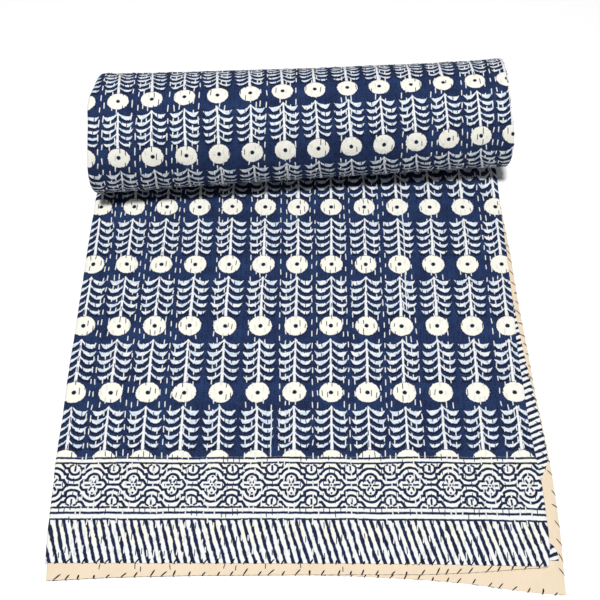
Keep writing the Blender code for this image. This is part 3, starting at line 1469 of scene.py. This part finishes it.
@dataclass
class Thread:
    """Stitches of one thread, as one mesh: rings of four points joined along each stitch."""

    finish: CottonThread
    name: str
    width: float
    thick: float
    slot: str = "printed_cotton"
    tip: float = 0.45
    points: list = field(default_factory=list)
    normals: list = field(default_factory=list)

    def lay(self, points: Array, normals: Array) -> None:
        """Adds stitches.

        Args:
            points: The places of their rings: stitch, ring, x y z.
            normals: The way out of the cloth at each.
        """
        self.points.append(points)
        self.normals.append(normals)

    def build(self) -> bpy.types.Object:
        """Makes the mesh.

        Returns:
            The stitches as one object.
        """
        points, out = np.concatenate(self.points), np.concatenate(self.normals)
        count, rings, _ = points.shape
        tangent = np.gradient(points, axis=1)
        tangent /= np.linalg.norm(tangent, axis=2, keepdims=True)
        out = out - (out * tangent).sum(2, keepdims=True) * tangent
        out /= np.linalg.norm(out, axis=2, keepdims=True)
        side = np.cross(tangent, out)
        size = np.full(rings, 1.0)
        size[0] = size[-1] = self.tip
        size = size[None, :, None]
        wide, high = side * self.width / 2, out * self.thick / 2
        angles = (0, math.pi / 2, math.pi, 3 * math.pi / 2)
        ring = [points + size * (wide * math.cos(a) + high * math.sin(a)) for a in angles]
        vertices = np.stack(ring, 2).reshape(-1, 3)
        mesh = bpy.data.meshes.new(self.name)
        mesh.from_pydata(vertices.tolist(), [], self.quads(count, rings).tolist())
        mesh.shade_smooth()
        mesh.materials.append(self.finish.build())
        made = bpy.data.objects.new(self.name, mesh)
        bpy.context.scene.collection.objects.link(made)
        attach(made, "root")
        log.info("%s: %d stitches", self.name, count)
        return made

    @staticmethod
    def quads(count: int, rings: int) -> Array:
        """The faces of the stitches, with their ends closed.

        Args:
            count: How many stitches there are.
            rings: How many rings each of them has.

        Returns:
            Four numbers of points for each face.
        """
        first = np.arange(count)[:, None, None] * rings * 4
        start = first + np.arange(rings - 1)[None, :, None] * 4
        corner = np.arange(4)[None, None, :]
        after = (corner + 1) % 4
        ring = [start + corner, start + after, start + 4 + after, start + 4 + corner]
        sides = np.stack(ring, -1).reshape(-1, 4)
        ends = [first[:, 0] + [[3, 2, 1, 0]], first[:, 0] + (rings - 1) * 4 + [[0, 1, 2, 3]]]
        return np.concatenate([sides, *ends])


@dataclass
class Stitching:
    """The running stitches over the whole quilt, and the whip stitches round its edges."""

    quilt: FoldedQuilt
    white: Thread
    navy: Thread
    whip: Thread
    seed: int = 41
    row_pitch: float = 0.0080
    row_stray: float = 0.0006
    run_rows: tuple = (2, 5)
    dash: float = 0.0108
    gap: float = 0.0086
    step_stray: float = 0.0011
    dash_stray: float = 0.0012
    dash_range: tuple = (0.006, 0.014)
    dash_rings: tuple = (
        # share of the stitch's length, height above the cloth
        (0.00, -0.00050),
        (0.18, 0.00035),
        (0.82, 0.00035),
        (1.00, -0.00050),
    )
    stitch_stray: float = 0.00025
    stitch_slant: float = 0.00035
    outwards: float = 0.001
    sway: Waves = Waves(0.0011, 0.16, 7)
    sway_rows: float = 3
    hem_margin: float = 0.004
    roll_angles: tuple = (0.35, 6.15)
    side_margins: tuple = (0.006, 0.004)
    eye_clear: float = 0.0036
    peeking_share: float = 0.45
    peeking_start: tuple = (0.001, 0.012)
    peeking_length: float = 0.008
    whip_pitch: float = 0.0182
    whip_stray: float = 0.0022
    # spread, least and most, as shares of the usual
    whip_size: tuple = (0.25, 0.5, 1.5)
    whip_lean: tuple = (0.45, 0.0, 2.2)
    whip_rings: tuple = (
        # inset from the edge, share of the slant, share of half the quilt's height, added height
        (0.0062, 1.00, 1, -0.0006),
        (0.0044, 0.72, 1, 0.0004),
        (0.0012, 0.25, 1, 0.0002),
        (-0.0004, 0.00, 0, 0.0),
        (0.0010, -0.10, -1, 0.0006),
    )
    hem_slant: float = 0.0050
    side_slant: float = 0.0065
    side_start: float = 0.010
    whip_core: float = 0.002
    hem_reaches: tuple = (
        # layer, how far past the top layer's right end its hem is sewn
        (Layer.TOP, 0.0),
        (Layer.SECOND, 0.0),
        (Layer.THIRD, 0.012),
        (Layer.LOWEST, 0.018),
    )

    def on_layer(self, layer: Layer, across: Array, along: Array, out: Array) -> Array:
        """Places points by how far they are above a layer's middle.

        Args:
            layer: The layer.
            across: Their places across the folded width.
            along: Their places along the cloth.
            out: How far above the layer's middle they are.

        Returns:
            The points, x y z in the last axis.
        """
        quilt = self.quilt
        reach = along + quilt.hem(across, along, np.full(np.shape(across), layer.value))
        return quilt.placed(across, reach, quilt.middle(layer) + out)

    def rows(self) -> None:
        """Lays the running stitches that show, on the flat top and on the outside of the roll."""
        dice = np.random.default_rng(self.seed)
        quilt, margin = self.quilt, self.hem_margin
        start, end = (quilt.along_at(angle) for angle in self.roll_angles)
        count = int(quilt.folded / self.row_pitch) - 1
        run, is_white = 0, True
        for row in range(count):
            if run == 0:
                is_white = not is_white
                run = int(dice.integers(*self.run_rows))
            run -= 1
            middle = (row + 0.5 - count / 2) * self.row_pitch + dice.normal(0, self.row_stray)
            thread = self.white if is_white else self.navy
            places = self.dashes(dice, margin, quilt.flat_length - margin)
            self.lay(thread, Layer.TOP, middle, places, dice, 1)
            if not is_white and dice.random() < self.peeking_share:
                first = dice.uniform(*self.peeking_start)
                places = np.array([[first, first + self.peeking_length]])
                self.lay(thread, Layer.SECOND, middle, places, dice, 1)
            self.lay(thread, Layer.LOWEST, middle, self.dashes(dice, start, end), dice, -1)

    def whips(self) -> None:
        """Lays the slanting stitches over the hems and the free side edges."""
        dice = np.random.default_rng(self.seed + 1)
        quilt = self.quilt
        side = quilt.folded / 2 - self.hem_margin
        for layer, reach in self.hem_reaches:
            shapes = self.slants(dice, -side, side + reach, self.hem_slant)
            place, inset, shift, out = shapes
            self.lay_whips(layer, place + shift, inset, 0 * inset, out)
        turn = quilt.along_at(2 * math.pi)
        for layer, column in ((Layer.THIRD, 3), (Layer.LOWEST, 4)):
            shapes = self.slants(dice, self.side_start, turn, self.side_slant)
            place, inset, shift, out = shapes
            along = place + shift
            edge = quilt.edge(along, 2) + quilt.edge(along, column)
            self.lay_whips(layer, edge - inset, along, inset, out)

    def slants(
        self, dice: np.random.Generator, start: float, end: float, slant: float
    ) -> tuple[Array, Array, Array, Array]:
        """The shapes of the slanting stitches along one edge.

        Args:
            dice: The random numbers.
            start: Where the edge starts.
            end: Where it ends.
            slant: How far a stitch moves along the edge as it comes in from it.

        Returns:
            Places along the edge, insets from it, shifts along it and heights, for each ring.
        """
        count = int((end - start) / self.whip_pitch)
        stray = dice.normal(0, self.whip_stray, count)
        place = start + (np.arange(count) + 0.5) * self.whip_pitch + stray
        (spread, *sizes), (tilt, *leans) = self.whip_size, self.whip_lean
        size = np.clip(dice.normal(1, spread, (count, 1)), *sizes)
        lean = np.clip(dice.normal(1, tilt, (count, 1)), *leans)
        insets, shifts, halves, heights = np.array(self.whip_rings).T
        inset = insets[None, :] * size
        shift = shifts[None, :] * slant * lean * size
        out = (halves * self.quilt.quilt / 2 + heights)[None, :] + 0 * inset
        return place[:, None], inset, shift, out

    def lay_whips(
        self, layer: Layer, across: Array, along: Array, inset: Array, out: Array
    ) -> None:
        """Lays slanting stitches round one edge.

        Args:
            layer: The layer that they are on.
            across: The rings' places across the folded width.
            along: The rings' places along the cloth.
            inset: How far inside a side edge they are, or 0 at a hem.
            out: How far above the layer's middle they are.
        """
        if layer is Layer.TOP:
            relief = self.quilt.relief(across, along, np.full(out.shape, layer.value))
            out = out + relief * (out > 0)
        points = self.on_layer(layer, across, along, out)
        inwards = across - self.whip_core * (inset != 0)
        back = along + self.whip_core * (inset == 0)
        self.whip.lay(points, points - self.on_layer(layer, inwards, back, 0 * out))

    def dashes(self, dice: np.random.Generator, start: float, end: float) -> Array:
        """The starts and ends of a row's stitches.

        Args:
            dice: The random numbers.
            start: Where the row starts.
            end: Where it ends.

        Returns:
            A row of two numbers for each stitch.
        """
        pitch = self.dash + self.gap
        count = int((end - start) / pitch) + 2
        steps = dice.normal(pitch, self.step_stray, count)
        starts = start + dice.uniform(0, self.dash) + np.cumsum(steps) - steps[0]
        lengths = np.clip(dice.normal(self.dash, self.dash_stray, count), *self.dash_range)
        ends = starts + lengths
        keep = ends < end
        return np.stack([starts[keep], ends[keep]], 1)

    def over_eye(self, layer: Layer, across: Array, along: Array) -> Array:
        """Says which stitches would cover the eye of a disc.

        Args:
            layer: The layer that they show on.
            across: Their rings' places across the folded width.
            along: Their rings' places along the cloth.

        Returns:
            Whether each of them does.
        """
        repeat, clear = self.quilt.lay.repeat, self.eye_clear
        place = self.quilt.print_place(across, along, np.full(across.shape, layer.value))
        s, t = place[..., 0], place[..., 1] - repeat.first_row
        aside = np.abs(s - repeat.column * np.round(s / repeat.column)).min(1)
        eye = repeat.row * np.round(t.mean(1) / repeat.row)
        beside = (t.min(1) < eye + clear) & (t.max(1) > eye - clear)
        return (aside < clear) & beside

    def lay(
        self,
        thread: Thread,
        layer: Layer,
        middle: float,
        places: Array,
        dice: np.random.Generator,
        up: int,
    ) -> None:
        """Lays one row.

        Args:
            thread: Its thread.
            layer: The layer that it shows on.
            middle: Its place across the folded width.
            places: The starts and ends of its stitches.
            dice: The random numbers.
            up: 1 where it shows from above the layer, -1 from below.
        """
        quilt, count = self.quilt, len(places)
        share, lift = np.array(self.dash_rings).T
        along = places[:, :1] + (places[:, 1:] - places[:, :1]) * share[None, :]
        sway = self.sway.height * self.sway.at(np.array(middle * self.sway_rows), along)
        sway = sway + dice.normal(0, self.stitch_stray, (count, 1))
        slant = dice.normal(0, self.stitch_slant, (count, 1)) * (share[None, :] - 0.5) * 2
        across = middle + sway + slant
        left = quilt.edge(along, 1) + self.side_margins[0]
        right = quilt.edge(along, 2) - self.side_margins[1]
        keep = ((across > left) & (across < right)).all(1)
        keep = keep & ~self.over_eye(layer, across, along)
        along, across = along[keep], across[keep]
        relief = quilt.relief(across, along, np.full(across.shape, layer.value))
        height = quilt.quilt / 2 + relief + lift[None, :]
        points = self.on_layer(layer, across, along, up * height)
        above = self.on_layer(layer, across, along, up * (height + self.outwards))
        thread.lay(points, above - points)


@dataclass(frozen=True)
class Viewpoint:
    """The camera above the front hem, looking down at the quilt."""

    place: tuple = (-0.0053, -0.6196, 1.226)
    pitch: float = math.radians(62)
    focal_pixels: float = 880
    picture: float = 600
    sensor: float = 36

    def build(self) -> None:
        """Makes the camera and gives it to the scene."""
        data = bpy.data.cameras.new("camera")
        data.sensor_width = self.sensor
        data.lens = self.focal_pixels / self.picture * self.sensor
        made = bpy.data.objects.new("camera", data)
        made.location = self.place
        made.rotation_euler = (math.pi / 2 - self.pitch, 0, 0)
        bpy.context.scene.collection.objects.link(made)
        bpy.context.scene.camera = made


@dataclass(frozen=True)
class Lamp:
    """A soft square light: its name, place, width and power."""

    name: str
    place: tuple
    size: float
    power: float

    def build(self, aim: tuple) -> None:
        """Makes the light.

        Args:
            aim: The point that it faces.
        """
        data = bpy.data.lights.new(self.name, "AREA")
        data.size, data.energy = self.size, self.power
        light = bpy.data.objects.new(self.name, data)
        light.location = self.place
        bpy.context.scene.collection.objects.link(light)
        ahead = Vector(aim) - Vector(self.place)
        light.rotation_euler = ahead.to_track_quat("-Z", "Y").to_euler()


@dataclass(frozen=True)
class Studio:
    """The pale floor and the soft light from above."""

    floor_size: float = 60
    floor_colour: tuple = (0.99, 0.99, 0.99, 1)
    floor_roughness: float = 0.9
    floor_specular: float = 0.5
    sky: float = 0.14
    aim: tuple = (0, 0, 0.1)
    lamps: tuple = (
        Lamp("key", (-0.15, -0.80, 4.35), 0.45, 196.0),
        Lamp("fill", (0.3, 1.8, 3.0), 2.0, 2.0),
    )

    def build(self) -> None:
        """Makes the floor, the sky and the lamps."""
        bpy.ops.object.select_all(action="DESELECT")
        bpy.ops.mesh.primitive_plane_add(size=self.floor_size, location=(0, 0, 0))
        floor = bpy.context.object
        floor.name = "floor"
        pale = plain("pale_floor", self.floor_colour, self.floor_roughness, self.floor_specular)
        floor.data.materials.append(pale)
        world = bpy.data.worlds.new("studio")
        world.use_nodes = True
        background = world.node_tree.nodes["Background"]
        background.inputs["Color"].default_value = (1, 1, 1, 1)
        background.inputs["Strength"].default_value = self.sky
        bpy.context.scene.world = world
        for lamp in self.lamps:
            lamp.build(self.aim)
        bpy.context.scene.view_settings.view_transform = "Standard"


def main() -> None:
    """Builds the quilt and its studio."""
    logging.basicConfig(level=logging.INFO, format="%(message)s")
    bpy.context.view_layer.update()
    Viewpoint().build()
    Studio().build()
    quilt, dyes = FoldedQuilt(), Dyes()
    groups = SharedGroups(BlockPrint().group(), UnevenDye().group(), WovenSurface().group())
    for name, side, replaces, slot, finish in (
        ("block_printed_cloth", Cloth.PRINT, "printed_top", "printed_cotton", PrintedCotton(dyes)),
        ("cream_cloth", Cloth.BACKING, "cream_backing", "cream_cotton", CreamCotton(dyes)),
    ):
        cloth = QuiltCloth(name, side, replaces, slot, quilt).build()
        cloth.data.materials.append(finish.build(groups))
        log.info("%s: %d faces", name, len(cloth.data.polygons))
    threads = [
        Thread(CottonThread(f"{name}_thread", colour), f"{name}_stitches", width, thick)
        for name, colour, width, thick in (
            # width along the cloth, thickness out of it
            ("white", dyes.white_thread, 0.0019, 0.0008),
            ("navy", dyes.navy_thread, 0.0012, 0.0007),
            ("whip", dyes.whip_thread, 0.0026, 0.0010),
        )
    ]
    stitching = Stitching(quilt, *threads)
    stitching.rows()
    stitching.whips()
    for thread in threads:
        thread.build()


if __name__ == "__main__":
    main()
